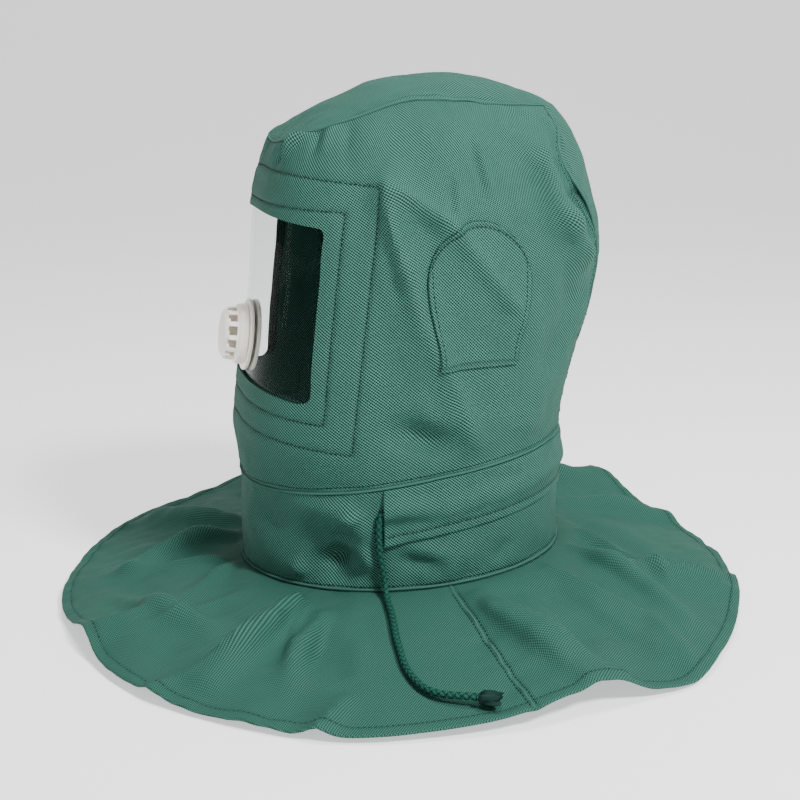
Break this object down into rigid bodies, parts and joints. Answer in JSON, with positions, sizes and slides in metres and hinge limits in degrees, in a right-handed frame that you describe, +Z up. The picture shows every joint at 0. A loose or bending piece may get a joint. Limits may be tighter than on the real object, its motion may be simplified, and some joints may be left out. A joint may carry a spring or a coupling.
{
  "type": "blasting hood",
  "caption": "Soft cloth blasting hood with a flared shoulder cape, a wide clear visor, a round slotted breathing valve, ear patches and a neck drawcord.",
  "frame": {"origin": "inside of the crown cloth, where the hood rests on the top of the wearer's head", "axes": "+Z up, -Y forward through the window, +X towards the wearer's left"},
  "size_m": [0.5294, 0.5326, 0.394],
  "materials": {
    "hood_cloth": "matte",
    "cape_cloth": "matte",
    "cord_yarn": "matte",
    "clear_visor": "gloss",
    "ivory_plastic": "satin"
  },
  "bodies": {
    "root": {"hood_wrap": "hood_cloth", "crown_gusset": "hood_cloth", "window_facing": "hood_cloth", "ear_patch_left": "hood_cloth", "ear_patch_right": "hood_cloth", "neck_band": "hood_cloth", "cord_channel": "hood_cloth", "cape_front": "cape_cloth", "cape_back": "cape_cloth", "drawcord_held": "cord_yarn", "drawcord_tail_left": "cord_yarn", "drawcord_tail_right": "cord_yarn", "cord_tip_left": "cord_yarn", "cord_tip_right": "cord_yarn", "visor": "clear_visor", "valve_flange": "ivory_plastic", "valve_clamp_ring": "ivory_plastic", "valve_cage": "ivory_plastic"}
  },
  "joints": []
}
